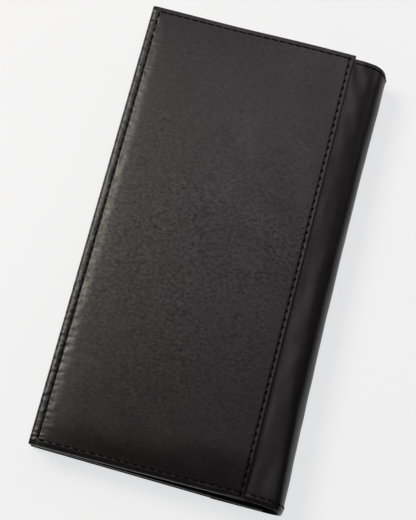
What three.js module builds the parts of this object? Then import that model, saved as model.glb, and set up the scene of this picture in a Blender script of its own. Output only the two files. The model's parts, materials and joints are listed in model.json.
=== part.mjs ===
// A long bifold wallet in plain black leather, closed and lying on its back cover.
// Millimetres. X runs from the free edges to the fold, Y from the foot to the head, Z up.
// The origin is on the surface that the wallet lies on, under the middle of its box.
import * as THREE from "three";

// Overall size, so that a bank card fits across a half between its two seams
const LENGTH = 182; // foot to head of the covers
const COVER_WIDTH = 83.6; // from the free edge to the edge that is sewn over the fold leather
const FOLD_FLAT = 7.2; // flat fold leather between the cover's edge and the bend
const FOLD_RADIUS = 8.4; // outside of the bend
const FOLD_WAIST = 1.2; // the bend is drawn in this far at mid length
const FOLD_PULL = 1.4; // its head is drawn in this far where it is outermost
const FOLD_LAP = 12; // fold leather that lies under the cover
const FOOT_RAKE = 1.7; // the back half is this much longer at the fold than at its free edge
const HEM_INSET = 0.4; // inner plies stop this short of the cover's edges
const FOLD_HEAD_INSET = 0.9; // the same for the fold at its head; its foot is flush with the covers

// Plies, from the outside of a half to its inside
const COVER_PLY = 1.6;
const FOLD_PLY = 1.0; // fold leather, and the filler that fills the same layer
const LINING_PLY = 0.5;
const PANEL_PLY = 0.8;
const POCKET_PLY = 0.8;
const CARD_PLY = 0.6;
const FILM_PLY = 0.3;
const PLY_GAP = 0.25; // glue line between two plies
const POCKET_GAP = 0.3; // an empty pocket
const CLOSED_GAP = 0.5; // between the halves where they lie closest

// The cover is pressed flat along its three sewn edges and swells over the filler inside them
const PRESSED_MARGIN = 2.8;
const SWELL = 4.2;
const SWELL_STEPS = 4;
const LAP_RAMP = 40; // towards the fold the head and foot margins rise to the lap's level
const LAP_RAMP_STEPS = 5;
const CORNER_RADIUS = 1.2; // of the covers, at the free edge

// Inside of the front half: five card pockets and a window for an identity card
const CARD_COUNT = 5;
const CARD_STEP = 13; // from one mouth to the next
const CARD_DEPTH = 44;
const MOUTH_RADIUS = 2.5;
const WINDOW_FOOT = 17; // foot edge of the window frame
const WINDOW_WIDTH = 74;
const WINDOW_HEIGHT = 47;
const WINDOW_RADIUS = 4;
const WINDOW_LAP = 3; // film behind the frame, around the opening
const THUMB_RADIUS = 9;

// Inside of the back half: a pocket for a chequebook and a slip pocket over it
const CHEQUEBOOK_MOUTH = 46;
const CHEQUEBOOK_SCOOP = 9;
const SLIP_MOUTH = -6;
const SLIP_SLANT = 22;
const PANEL_REACH = 1.2; // inner panels run this far past the start of the bend

const BEND_STEPS = 14;
const BEND_ROWS = 8;
const CURVE_STEPS = 8;

// Levels in a half, measured outwards from the outer face of the fold leather
const coverOuter = PLY_GAP + COVER_PLY;
const liningOuter = -FOLD_PLY - PLY_GAP;
const panelOuter = liningOuter - LINING_PLY - POCKET_GAP;
const pocketOuter = panelOuter - PANEL_PLY - PLY_GAP;
const slipOuter = pocketOuter - POCKET_PLY - PLY_GAP;
const frameOuter = pocketOuter - FILM_PLY - PLY_GAP;

const bendX = COVER_WIDTH + FOLD_FLAT;
const lapX = COVER_WIDTH - FOLD_LAP;
const panelX = bendX + PANEL_REACH;
const head = LENGTH / 2;
const innerHead = head - HEM_INSET;

// Each card pocket leans on the one behind it, so its mouth stands off the panel
const cardLean = Math.asin((CARD_PLY + PLY_GAP) / CARD_STEP);
const cardInner = pocketOuter - CARD_DEPTH * Math.sin(cardLean) - CARD_PLY * Math.cos(cardLean);
const slipInner = slipOuter - POCKET_PLY;

// The front half comes down on the back half at the free edge, so the closed wallet is a wedge
const closedTilt = Math.asin((2 * FOLD_RADIUS + cardInner + slipInner - CLOSED_GAP) / bendX);

const smooth = THREE.MathUtils.smoothstep;

function leather(colour, roughness) {
  return new THREE.MeshStandardMaterial({ color: colour, roughness, metalness: 0 });
}

const coverLeather = () => leather(0x2b2a2a, 0.5);
const innerLeather = () => leather(0x262424, 0.6);
const liningCloth = () => leather(0x1c1c1e, 0.9);
const fillerFelt = () => leather(0x55504a, 0.95);
const clearFilm = () =>
  new THREE.MeshStandardMaterial({
    color: 0xdfe4e6,
    roughness: 0.1,
    metalness: 0,
    transparent: true,
    opacity: 0.3,
  });

function named(name, geometry, material) {
  const mesh = new THREE.Mesh(geometry, material);
  mesh.name = name;
  return mesh;
}

// A closed sheet between two surfaces that share a grid of columns and rows.
// Columns, rows and the outward side follow the right-hand rule.
function sheetGeometry(columns, rows, outer, inner) {
  const positions = [];
  for (const surface of [outer, inner]) {
    for (const column of columns) {
      for (const row of rows) positions.push(...surface(column, row).toArray());
    }
  }
  const layer = columns.length * rows.length;
  const at = (i, j) => i * rows.length + j;
  const faces = [];
  const quad = (a, b, c, d) => faces.push(a, b, c, a, c, d);
  for (let i = 0; i + 1 < columns.length; i++) {
    for (let j = 0; j + 1 < rows.length; j++) {
      const ring = [at(i, j), at(i + 1, j), at(i + 1, j + 1), at(i, j + 1)];
      quad(...ring);
      quad(...ring.map((k) => k + layer).reverse());
    }
  }
  const lastColumn = columns.length - 1;
  const lastRow = rows.length - 1;
  const wall = (a, b) => quad(a, a + layer, b + layer, b);
  for (let i = 0; i < lastColumn; i++) {
    wall(at(i, 0), at(i + 1, 0));
    wall(at(i + 1, lastRow), at(i, lastRow));
  }
  for (let j = 0; j < lastRow; j++) {
    wall(at(lastColumn, j), at(lastColumn, j + 1));
    wall(at(0, j + 1), at(0, j));
  }
  const geometry = new THREE.BufferGeometry();
  geometry.setAttribute("position", new THREE.Float32BufferAttribute(positions, 3));
  geometry.setIndex(faces);
  geometry.computeVertexNormals();
  return geometry;
}

// A flat ply cut to an outline, with its outer face at a level
function plyGeometry(shape, outerLevel, thickness) {
  const geometry = new THREE.ExtrudeGeometry(shape, {
    depth: thickness,
    bevelEnabled: false,
    curveSegments: CURVE_STEPS,
  });
  return geometry.translate(0, 0, outerLevel - thickness);
}

function rectangle(x0, x1, y0, y1) {
  const shape = new THREE.Shape();
  shape.moveTo(x0, y0);
  shape.lineTo(x1, y0);
  shape.lineTo(x1, y1);
  shape.lineTo(x0, y1);
  shape.closePath();
  return shape;
}

function roundedPath(path, x0, x1, y0, y1, radius) {
  path.moveTo(x0 + radius, y0);
  path.lineTo(x1 - radius, y0);
  path.absarc(x1 - radius, y0 + radius, radius, -Math.PI / 2, 0);
  path.lineTo(x1, y1 - radius);
  path.absarc(x1 - radius, y1 - radius, radius, 0, Math.PI / 2);
  path.lineTo(x0 + radius, y1);
  path.absarc(x0 + radius, y1 - radius, radius, Math.PI / 2, Math.PI);
  path.lineTo(x0, y0 + radius);
  path.absarc(x0 + radius, y0 + radius, radius, Math.PI, 1.5 * Math.PI);
  return path;
}

// How far the cover is pressed down at a point: fully along the sewn margins,
// not at all over the filler and over the fold leather
function pressedDown(x, y) {
  const swellEnd = PRESSED_MARGIN + SWELL;
  const fromFree = smooth(x, PRESSED_MARGIN, swellEnd);
  const fromEnds = smooth(head - Math.abs(y), PRESSED_MARGIN, swellEnd);
  const overLap = smooth(x, lapX - LAP_RAMP, lapX);
  return (FOLD_PLY + PLY_GAP) * (1 - fromFree * fromEnds) * (1 - overLap);
}

function evenLines(from, length, steps) {
  const lines = [];
  for (let i = 0; i <= steps; i++) lines.push(from + (length * i) / steps);
  return lines;
}

function coverGeometry() {
  const margin = [0, CORNER_RADIUS, ...evenLines(PRESSED_MARGIN, SWELL, SWELL_STEPS)];
  const ramp = evenLines(lapX - LAP_RAMP, LAP_RAMP, LAP_RAMP_STEPS);
  const columns = [...margin, ...ramp, COVER_WIDTH];
  const rows = [...margin.map((d) => d - head), ...margin.map((d) => head - d).reverse()];
  const cornerPull = CORNER_RADIUS * (1 - Math.SQRT1_2);
  const surface = (level) => (x, y) => {
    const pull = x === 0 && Math.abs(y) === head ? cornerPull : 0;
    return new THREE.Vector3(x + pull, y - Math.sign(y) * pull, level - pressedDown(x, y));
  };
  return sheetGeometry(columns, rows, surface(coverOuter), surface(PLY_GAP));
}

function fillerGeometry() {
  const inset = PRESSED_MARGIN + SWELL + PLY_GAP;
  const outline = rectangle(inset, lapX - PLY_GAP, inset - head, head - inset);
  return plyGeometry(outline, 0, FOLD_PLY);
}

function liningGeometry() {
  const outline = rectangle(HEM_INSET, lapX - PLY_GAP, -innerHead, innerHead);
  return plyGeometry(outline, liningOuter, LINING_PLY);
}

function panelGeometry() {
  const outline = rectangle(HEM_INSET, panelX, -innerHead, innerHead);
  return plyGeometry(outline, panelOuter, PANEL_PLY);
}

// A card pocket's leaf, from its sewn foot at y = 0 to its mouth
function cardPocketGeometry() {
  const shape = new THREE.Shape();
  shape.moveTo(HEM_INSET, 0);
  shape.lineTo(panelX, 0);
  shape.lineTo(panelX, CARD_DEPTH - MOUTH_RADIUS);
  shape.absarc(panelX - MOUTH_RADIUS, CARD_DEPTH - MOUTH_RADIUS, MOUTH_RADIUS, 0, Math.PI / 2);
  shape.lineTo(HEM_INSET, CARD_DEPTH);
  shape.closePath();
  return plyGeometry(shape, 0, CARD_PLY);
}

const windowX = (HEM_INSET + panelX) / 2 - THUMB_RADIUS / 4;
const windowY = (WINDOW_FOOT + innerHead) / 2;

function windowFrameGeometry() {
  const shape = new THREE.Shape();
  shape.moveTo(HEM_INSET, WINDOW_FOOT);
  shape.lineTo(panelX, WINDOW_FOOT);
  shape.lineTo(panelX, windowY - THUMB_RADIUS);
  shape.ellipse(0, THUMB_RADIUS, THUMB_RADIUS / 2, THUMB_RADIUS, -Math.PI / 2, Math.PI / 2, true);
  shape.lineTo(panelX, innerHead);
  shape.lineTo(HEM_INSET, innerHead);
  shape.closePath();
  const halfWidth = WINDOW_WIDTH / 2;
  const halfHeight = WINDOW_HEIGHT / 2;
  const opening = roundedPath(
    new THREE.Path(),
    windowX - halfWidth,
    windowX + halfWidth,
    windowY - halfHeight,
    windowY + halfHeight,
    WINDOW_RADIUS,
  );
  shape.holes.push(opening);
  return plyGeometry(shape, frameOuter, CARD_PLY);
}

function windowFilmGeometry() {
  const halfWidth = WINDOW_WIDTH / 2 + WINDOW_LAP;
  const halfHeight = WINDOW_HEIGHT / 2 + WINDOW_LAP;
  const outline = roundedPath(
    new THREE.Shape(),
    windowX - halfWidth,
    windowX + halfWidth,
    windowY - halfHeight,
    windowY + halfHeight,
    WINDOW_RADIUS,
  );
  return plyGeometry(outline, pocketOuter, FILM_PLY);
}

function chequebookPocketGeometry() {
  const middle = (HEM_INSET + panelX) / 2;
  const shape = new THREE.Shape();
  shape.moveTo(HEM_INSET, -innerHead);
  shape.lineTo(panelX, -innerHead);
  shape.lineTo(panelX, CHEQUEBOOK_MOUTH);
  shape.quadraticCurveTo(middle, CHEQUEBOOK_MOUTH - 2 * CHEQUEBOOK_SCOOP, HEM_INSET, CHEQUEBOOK_MOUTH);
  shape.closePath();
  return plyGeometry(shape, pocketOuter, POCKET_PLY);
}

function slipPocketGeometry() {
  const low = SLIP_MOUTH - SLIP_SLANT;
  const third = (panelX - HEM_INSET) / 3;
  const shape = new THREE.Shape();
  shape.moveTo(HEM_INSET, -innerHead);
  shape.lineTo(panelX, -innerHead);
  shape.lineTo(panelX, low);
  shape.bezierCurveTo(panelX - third, low, HEM_INSET + third, SLIP_MOUTH, HEM_INSET, SLIP_MOUTH);
  shape.closePath();
  return plyGeometry(shape, slipOuter, POCKET_PLY);
}

// The fold's section: the angle round the bend and the flat run beyond it, from the front
// half's lap, round the bend, and into the back half's lap
function foldStations() {
  const flat = bendX - lapX;
  const frontAngle = Math.PI / 2 + closedTilt;
  const sweep = frontAngle + Math.PI / 2;
  const bend = evenLines(frontAngle, -sweep, BEND_STEPS).map((angle) => ({ angle, run: 0 }));
  return [{ angle: frontAngle, run: flat }, ...bend, { angle: -Math.PI / 2, run: -flat }];
}

// A sheet that follows the fold at a depth under its outer face
function foldGeometry(depth, thickness) {
  const surface = (radius) => (station, along) => {
    const { angle, run } = station;
    const bulge = Math.max(0, Math.cos(angle));
    const waist = FOLD_WAIST * bulge * (1 - along ** 2);
    const end = along > 0 ? head - FOLD_HEAD_INSET - FOLD_PULL * bulge ** 2 : head;
    const x = radius * Math.cos(angle) - run * Math.sin(angle) - waist;
    const z = radius * Math.sin(angle) + run * Math.cos(angle);
    return new THREE.Vector3(x, along * end, z);
  };
  const outer = surface(FOLD_RADIUS - depth);
  const inner = surface(FOLD_RADIUS - depth - thickness);
  return sheetGeometry(foldStations(), evenLines(-1, 2, BEND_ROWS), outer, inner);
}

// The back half is cut a little long, so its foot shows below the front cover
function rakeFoot(geometry, freeEdgeX, shareAt = () => 1) {
  const points = geometry.attributes.position;
  for (let i = 0; i < points.count; i++) {
    const across = Math.min(1, (points.getX(i) - freeEdgeX) / COVER_WIDTH);
    const down = Math.max(0, -points.getY(i) / head);
    const rake = FOOT_RAKE * across * shareAt(points.getZ(i));
    points.setY(i, points.getY(i) - rake * down);
  }
  return geometry;
}

function frontPlies() {
  const plies = new THREE.Group();
  plies.add(named("front_cover", coverGeometry(), coverLeather()));
  plies.add(named("front_filler", fillerGeometry(), fillerFelt()));
  plies.add(named("front_lining", liningGeometry(), liningCloth()));
  plies.add(named("front_inner_panel", panelGeometry(), innerLeather()));
  plies.add(named("id_window_film", windowFilmGeometry(), clearFilm()));
  plies.add(named("id_window_frame", windowFrameGeometry(), innerLeather()));
  for (let i = 0; i < CARD_COUNT; i++) {
    const pocket = named(`card_pocket_${i + 1}`, cardPocketGeometry(), innerLeather());
    pocket.position.set(0, CARD_STEP * i - innerHead, pocketOuter);
    pocket.rotation.x = -cardLean;
    plies.add(pocket);
  }
  return plies;
}

function backPlies() {
  const plies = new THREE.Group();
  plies.add(named("back_cover", rakeFoot(coverGeometry(), 0), coverLeather()));
  plies.add(named("back_filler", rakeFoot(fillerGeometry(), 0), fillerFelt()));
  plies.add(named("back_lining", rakeFoot(liningGeometry(), 0), liningCloth()));
  plies.add(named("back_inner_panel", rakeFoot(panelGeometry(), 0), innerLeather()));
  plies.add(named("chequebook_pocket", rakeFoot(chequebookPocketGeometry(), 0), innerLeather()));
  plies.add(named("slip_pocket", rakeFoot(slipPocketGeometry(), 0), innerLeather()));
  return plies;
}

// The fold's foot runs from the front cover's foot round to the back cover's
function foldPlies() {
  const backShare = (z) => Math.min(1, Math.max(0, (1 - z / FOLD_RADIUS) / 2));
  const leatherSheet = foldGeometry(0, FOLD_PLY);
  const liningSheet = foldGeometry(FOLD_PLY + PLY_GAP, LINING_PLY);
  const plies = new THREE.Group();
  plies.add(named("fold_leather", rakeFoot(leatherSheet, -bendX, backShare), coverLeather()));
  plies.add(named("fold_lining", rakeFoot(liningSheet, -bendX, backShare), liningCloth()));
  return plies;
}

// Everything is placed from the centre of the bend: the front half leans on the back half,
// and the back half is its mirror image underneath
function buildWallet() {
  const front = new THREE.Group();
  const frontStack = frontPlies();
  frontStack.position.set(-bendX, 0, FOLD_RADIUS);
  front.add(frontStack);
  front.rotation.y = -closedTilt;

  const back = new THREE.Group();
  const backStack = backPlies();
  backStack.position.set(-bendX, 0, FOLD_RADIUS);
  back.add(backStack);
  back.scale.z = -1;

  const bend = new THREE.Group();
  bend.name = "bend_centre";
  bend.add(front, back, foldPlies());

  const wallet = new THREE.Group();
  wallet.add(bend);
  const box = new THREE.Box3().setFromObject(wallet, true);
  const middle = box.getCenter(new THREE.Vector3());
  bend.position.set(-middle.x, -middle.y, -box.min.z);
  wallet.updateMatrixWorld(true);
  return wallet;
}

export default buildWallet();
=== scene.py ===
"""Looks of a long bifold wallet in plain black leather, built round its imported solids.

Each half has its own frame in millimetres: x from the free edge to the fold, y from the foot to
the head with the middle of the cover at zero, and z outwards from the outer face of the fold
leather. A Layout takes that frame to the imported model's frame in metres.
"""

from __future__ import annotations

import json
import logging
import math
from collections.abc import Callable, Iterator
from contextlib import contextmanager
from dataclasses import dataclass, replace
from enum import Enum
from functools import partial
from typing import Any

import bpy
import numpy as np
from mathutils import Matrix, Vector, noise


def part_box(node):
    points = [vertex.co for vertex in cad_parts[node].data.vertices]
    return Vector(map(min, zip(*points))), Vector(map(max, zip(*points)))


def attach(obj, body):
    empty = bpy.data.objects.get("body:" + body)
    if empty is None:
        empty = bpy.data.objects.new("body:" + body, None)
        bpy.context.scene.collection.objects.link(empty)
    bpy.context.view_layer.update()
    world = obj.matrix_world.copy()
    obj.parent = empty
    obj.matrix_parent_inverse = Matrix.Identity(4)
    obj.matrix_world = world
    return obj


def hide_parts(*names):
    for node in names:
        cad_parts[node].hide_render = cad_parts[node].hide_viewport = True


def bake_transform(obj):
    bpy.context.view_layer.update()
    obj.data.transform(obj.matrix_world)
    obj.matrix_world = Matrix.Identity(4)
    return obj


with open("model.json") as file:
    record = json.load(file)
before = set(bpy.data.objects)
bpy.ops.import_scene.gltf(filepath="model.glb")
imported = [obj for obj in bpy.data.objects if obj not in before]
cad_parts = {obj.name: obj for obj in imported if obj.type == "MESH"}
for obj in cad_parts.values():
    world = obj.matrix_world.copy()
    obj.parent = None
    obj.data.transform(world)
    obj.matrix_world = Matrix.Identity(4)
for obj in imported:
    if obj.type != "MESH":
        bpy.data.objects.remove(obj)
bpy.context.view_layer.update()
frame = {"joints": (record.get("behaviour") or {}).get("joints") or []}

MM = 0.001
PHOTO_HEIGHT_PX = 520
EDGE_ANGLE = math.radians(50.0)
SMOOTH_ANGLE = math.radians(40.0)
QUARTER = math.pi / 2
LOG = logging.getLogger("wallet")

Array = np.ndarray
Span = tuple[float, float]
Surface = Callable[[Array, Array], Array]
Piece = bpy.types.Object
Material = bpy.types.Material
Tree = bpy.types.NodeTree
Socket = bpy.types.NodeSocket


class Side(Enum):
    """The two halves of the wallet, named as their solids are, and the fold's parts beside them."""

    FRONT = "front"
    BACK = "back"

    @property
    def body(self) -> str:
        """The name of the body that this half is."""
        return f"{self.value}_half"


class Slot(Enum):
    """The record's material slots."""

    COVER = "cover_leather"
    INNER = "inner_leather"
    LINING = "lining_cloth"
    FILLER = "filler_felt"
    FILM = "clear_film"


# Shapes of numbers


def smooth(value: Array, low: float, high: float) -> Array:
    """Rises smoothly from 0 where the value is low to 1 where it is high."""
    t = np.clip((value - low) / (high - low), 0.0, 1.0)
    return t * t * (3.0 - 2.0 * t)


def grown(run: Array, reach: float) -> Array:
    """Rises from 0 and levels off at 1, over about the given reach."""
    return 1.0 - np.exp(-run / reach)


def line_between(start: float, end: float) -> Array:
    """Close steps from one value to another, for a seam."""
    return np.linspace(start, end, 400)


def graded_lines(length: float, seams: list[float], fine: float, coarse: float) -> Array:
    """Grid lines that crowd together along seams and leave room for a rounded edge.

    Args:
        length: Length that the lines divide, in millimetres.
        seams: Where the lines crowd together.
        fine: Spacing on a seam.
        coarse: Spacing away from the seams.

    Returns:
        The lines, from 0 to length.
    """
    edge = 0.25
    reach = 6.0
    lines = [edge]
    while lines[-1] < length - edge:
        near = min(abs(lines[-1] - seam) for seam in seams)
        lines.append(lines[-1] + fine + (coarse - fine) * min(1.0, near / reach))
    inner = np.array(lines)
    inner = edge + (inner - edge) * (length - 2 * edge) / (inner[-1] - edge)
    return np.concatenate([[0.0], inner, [length]])


@dataclass(frozen=True)
class Waves:
    """Soft irregular waves of about one height, width and length, in millimetres."""

    height: float
    width: float
    length: float
    seed: float = 0.0
    gain: float = 1.6

    def at(self, x: Array, y: Array) -> Array:
        """Their heights at some places.

        Args:
            x: Places across.
            y: Places along.

        Returns:
            The heights, above and below 0.
        """
        flat = zip(np.ravel(x / self.width), np.ravel(y / self.length))
        shares = [noise.noise(Vector((a, b, self.seed))) for a, b in flat]
        return self.height * (np.array(shares).reshape(np.shape(x)) * self.gain)


@dataclass(frozen=True)
class Groove:
    """A soft groove, or a swelling, by its depth and its width to each side, in millimetres."""

    depth: float
    width: float

    def at(self, away: Array) -> Array:
        """Its depth at some distances from its middle."""
        return self.depth * np.exp(-((away / self.width) ** 2))


# Modelling tools


def only(piece: Piece) -> None:
    """Makes a piece the one selected and active object.

    Args:
        piece: The piece.
    """
    bpy.ops.object.select_all(action="DESELECT")
    piece.select_set(True)
    bpy.context.view_layer.objects.active = piece


@contextmanager
def edit_mode() -> Iterator[None]:
    """Opens the active piece in edit mode and closes it again.

    Yields:
        Nothing, while the piece is open.
    """
    bpy.ops.object.mode_set(mode="EDIT")
    yield
    bpy.ops.object.mode_set(mode="OBJECT")


def added(name: str, primitive: Callable[..., Any], **settings: Any) -> Piece:
    """Adds a primitive with nothing else selected.

    Args:
        name: The name of the piece and of its mesh.
        primitive: The operator that adds it.
        settings: The operator's own settings.

    Returns:
        The piece, selected and active.
    """
    bpy.ops.object.select_all(action="DESELECT")
    primitive(**settings)
    piece = bpy.context.active_object
    piece.name = name
    piece.data.name = name
    return piece


def coordinates(piece: Piece) -> Array:
    """Reads the places of a mesh's points.

    Args:
        piece: The piece.

    Returns:
        One place to a row, in metres.
    """
    flat = np.empty(len(piece.data.vertices) * 3, np.float32)
    piece.data.vertices.foreach_get("co", flat)
    return flat.reshape(-1, 3)


def finish_with(piece: Piece, kind: str, **settings: Any) -> None:
    """Adds a modifier with its settings and applies it.

    Args:
        piece: The piece to change.
        kind: The modifier's type.
        settings: The modifier's own properties.
    """
    only(piece)
    modifier = piece.modifiers.new(kind.title(), kind)
    for key, value in settings.items():
        setattr(modifier, key, value)
    bpy.ops.object.modifier_apply(modifier=modifier.name)


def draped_grid(name: str, columns: Array, rows: Array, surface: Surface) -> Piece:
    """A grid of faces laid on a surface.

    Args:
        name: The piece's name.
        columns: The surface's first coordinate at each grid line.
        rows: The surface's second coordinate at each grid line.
        surface: Gives places in millimetres.

    Returns:
        The sheet, in metres, with its outer side where columns and rows turn anticlockwise.
    """
    counts = {"x_subdivisions": len(columns) - 1, "y_subdivisions": len(rows) - 1}
    piece = added(name, bpy.ops.mesh.primitive_grid_add, size=1.0, **counts)
    places = coordinates(piece) + 0.5
    column = np.rint(places[:, 0] * (len(columns) - 1)).astype(int)
    row = np.rint(places[:, 1] * (len(rows) - 1)).astype(int)
    shaped = surface(columns[column], rows[row]) * MM
    piece.data.vertices.foreach_set("co", shaped.astype(np.float32).ravel())
    piece.data.update()
    return piece


def thicken(piece: Piece, ply: float, edge: float, skive: Array | None = None) -> None:
    """Gives a sheet its thickness, behind its outer face, and rounds its cut edge.

    The rim and its rounding take the piece's second material.

    Args:
        piece: The sheet.
        ply: Thickness, in millimetres.
        edge: Radius of the edge, in millimetres.
        skive: The share of the thickness left at each point, where the sheet is thinned.
    """
    thinned = {}
    if skive is not None:
        group = piece.vertex_groups.new(name="skived")
        for index, share in enumerate(skive):
            group.add([index], float(share), "REPLACE")
        thinned["vertex_group"] = group.name
    finish_with(piece, "SOLIDIFY", thickness=ply * MM, offset=-1.0, material_offset_rim=1, **thinned)
    piece.vertex_groups.clear()
    rounding = {"segments": 3, "limit_method": "ANGLE", "angle_limit": EDGE_ANGLE}
    finish_with(piece, "BEVEL", width=edge * MM, material=1, **rounding)
    only(piece)
    bpy.ops.object.shade_smooth_by_angle(angle=SMOOTH_ANGLE)


def settle(piece: Piece, place: Matrix) -> None:
    """Moves a finished piece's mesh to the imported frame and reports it.

    Args:
        piece: The piece, in metres in the frame that it was modelled in.
        place: That frame's place.
    """
    piece.data.transform(place)
    if place.determinant() < 0:
        piece.data.flip_normals()
    piece.data.update()
    LOG.info("%s: %d faces", piece.name, len(piece.data.polygons))


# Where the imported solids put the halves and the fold


@dataclass(frozen=True)
class Layout:
    """Sizes in millimetres that every piece shares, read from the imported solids."""

    length: float
    cover_width: float
    bend: Vector
    tilt: float
    bend_x: float
    bend_radius: float = 8.4
    lap: float = 12.0
    ply_gap: float = 0.25
    cover_ply: float = 1.6
    fold_ply: float = 1.0
    hem: float = 0.4
    foot_rake: float = 1.7
    panel_reach: float = 1.2

    @classmethod
    def from_solids(cls) -> Layout:
        """Reads the covers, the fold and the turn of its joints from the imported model.

        Returns:
            The layout.
        """
        front_low, front_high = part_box("front_cover")
        back_low, back_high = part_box("back_cover")
        fold_low, fold_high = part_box("fold_leather")
        radius = cls.bend_radius
        middle = (front_low.y + front_high.y) / 2 / MM
        bend = Vector((fold_high.x / MM - radius, middle, fold_low.z / MM + radius))
        turn = frame["joints"][0]["range_deg"][1]
        return cls(
            length=(front_high.y - front_low.y) / MM,
            cover_width=(back_high.x - back_low.x) / MM,
            bend=bend,
            tilt=math.radians(2 * turn - 180.0),
            bend_x=bend.x - back_low.x / MM,
        )

    @property
    def head(self) -> float:
        """Distance from the middle of a cover to its head."""
        return self.length / 2

    @property
    def inner_head(self) -> float:
        """The same for the plies inside it."""
        return self.head - self.hem

    @property
    def lap_x(self) -> float:
        """Where the fold leather's lap ends under a cover."""
        return self.cover_width - self.lap

    @property
    def panel_right(self) -> float:
        """Where the inner plies end, just past the start of the bend."""
        return self.bend_x + self.panel_reach

    @property
    def cover_level(self) -> float:
        """The outer face of a cover where it isn't pressed."""
        return self.ply_gap + self.cover_ply

    def place(self, side: Side) -> Matrix:
        """The matrix from a half's frame, in metres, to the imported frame.

        Args:
            side: The half.

        Returns:
            The matrix. The back half's mirrors it.
        """
        stand = Matrix.Rotation(-self.tilt, 4, "Y")
        if side is Side.BACK:
            stand = Matrix.Scale(-1.0, 4, (0.0, 0.0, 1.0))
        to_fold = Matrix.Translation(Vector((-self.bend_x, 0.0, self.bend_radius)) * MM)
        return Matrix.Translation(self.bend * MM) @ stand @ to_fold

    def laid(self, side: Side, x: Array, y: Array, z: Array) -> Array:
        """Points of a half. The back half is longer at its foot, more so towards the fold.

        Args:
            side: The half.
            x: Places across.
            y: Places along.
            z: Levels.

        Returns:
            The points in the half's frame.
        """
        if side is Side.BACK:
            across = np.clip(x / self.cover_width, 0.0, 1.0)
            y = y - self.foot_rake * across * np.maximum(0.0, -y / self.head)
        return np.stack([x, y, z], axis=-1)


# Materials


def linear(colour: str) -> tuple[float, float, float, float]:
    """Turns an sRGB colour of six hex digits to linear red, green, blue and 1.

    Args:
        colour: The digits.

    Returns:
        The four channels.
    """
    channels = [int(colour[i : i + 2], 16) / 255 for i in (0, 2, 4)]
    red, green, blue = [c / 12.92 if c <= 0.04045 else ((c + 0.055) / 1.055) ** 2.4 for c in channels]
    return red, green, blue, 1.0


def per_metre(size_mm: float) -> float:
    """The scale of a pattern whose features have this size."""
    return 1.0 / (size_mm * MM)


def add_node(tree: Tree, kind: str, inputs: dict[Any, Any], **settings: Any) -> bpy.types.Node:
    """Adds a node, sets it and links it.

    Args:
        tree: The material's tree.
        kind: The node's type.
        inputs: A value or another node's output for each input.
        settings: The node's own properties.

    Returns:
        The node.
    """
    node = tree.nodes.new(kind)
    for key, value in settings.items():
        setattr(node, key, value)
    connect(tree, node, inputs)
    return node


def connect(tree: Tree, node: bpy.types.Node, inputs: dict[Any, Any]) -> None:
    """Gives a node's inputs their values and links.

    Args:
        tree: The material's tree.
        node: The node.
        inputs: A value or another node's output for each input.
    """
    for key, value in inputs.items():
        if isinstance(value, Socket):
            tree.links.new(value, node.inputs[key])
        else:
            node.inputs[key].default_value = value


def own_place(tree: Tree) -> Socket:
    """The piece's own coordinates, in metres."""
    return add_node(tree, "ShaderNodeTexCoord", {}).outputs["Object"]


def calculated(tree: Tree, operation: str, *values: Any) -> Socket:
    """The result of an operation on one, two or three values."""
    return add_node(tree, "ShaderNodeMath", dict(enumerate(values)), operation=operation).outputs["Value"]


def mapped(tree: Tree, value: Socket, source: Span, target: Span) -> Socket:
    """Takes one range of a value to another and keeps it inside that."""
    limits = dict(zip(("From Min", "From Max", "To Min", "To Max"), (*source, *target)))
    return add_node(tree, "ShaderNodeMapRange", {"Value": value, **limits}).outputs["Result"]


def cloudy(
    tree: Tree, size_mm: float, detail: float, roughness: float = 0.5, stretch: float = 1.0
) -> Socket:
    """A cloudy pattern on the piece's own coordinates.

    Args:
        tree: The material's tree.
        size_mm: The size of its largest features.
        detail: How many finer steps it has.
        roughness: How strong the finer steps are.
        stretch: How much longer its features are across the wallet.

    Returns:
        Its value, from 0 to 1.
    """
    squeeze = {0: own_place(tree), 1: (1.0 / stretch, 1.0, 1.0)}
    place = add_node(tree, "ShaderNodeVectorMath", squeeze, operation="MULTIPLY").outputs["Vector"]
    pattern = {"Vector": place, "Scale": per_metre(size_mm), "Detail": detail, "Roughness": roughness}
    return add_node(tree, "ShaderNodeTexNoise", pattern).outputs["Fac"]


def banded(tree: Tree, size_mm: float, direction: str) -> Socket:
    """Even bands of a size across one direction of the piece."""
    pattern = {"Vector": own_place(tree), "Scale": per_metre(size_mm) / (2 * math.pi)}
    return add_node(tree, "ShaderNodeTexWave", pattern, bands_direction=direction).outputs["Fac"]


def mixed(tree: Tree, share: Socket, first: str, second: str) -> Socket:
    """A colour between two others."""
    inputs = {"Factor": share, "A": linear(first), "B": linear(second)}
    return add_node(tree, "ShaderNodeMix", inputs, data_type="RGBA").outputs["Result"]


def bumped(tree: Tree, height: Socket, depth_mm: float, strength: Any = 1.0) -> Socket:
    """The normal of a face that a pattern raises by up to a depth."""
    inputs = {"Height": height, "Strength": strength, "Distance": depth_mm * MM}
    return add_node(tree, "ShaderNodeBump", inputs).outputs["Normal"]


def new_material(name: str) -> tuple[Material, Tree, bpy.types.Node]:
    """A new material with one principled shader.

    Args:
        name: The material's name.

    Returns:
        The material, its tree and its shader.
    """
    material = bpy.data.materials.new(name)
    material.use_nodes = True
    return material, material.node_tree, material.node_tree.nodes["Principled BSDF"]


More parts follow.
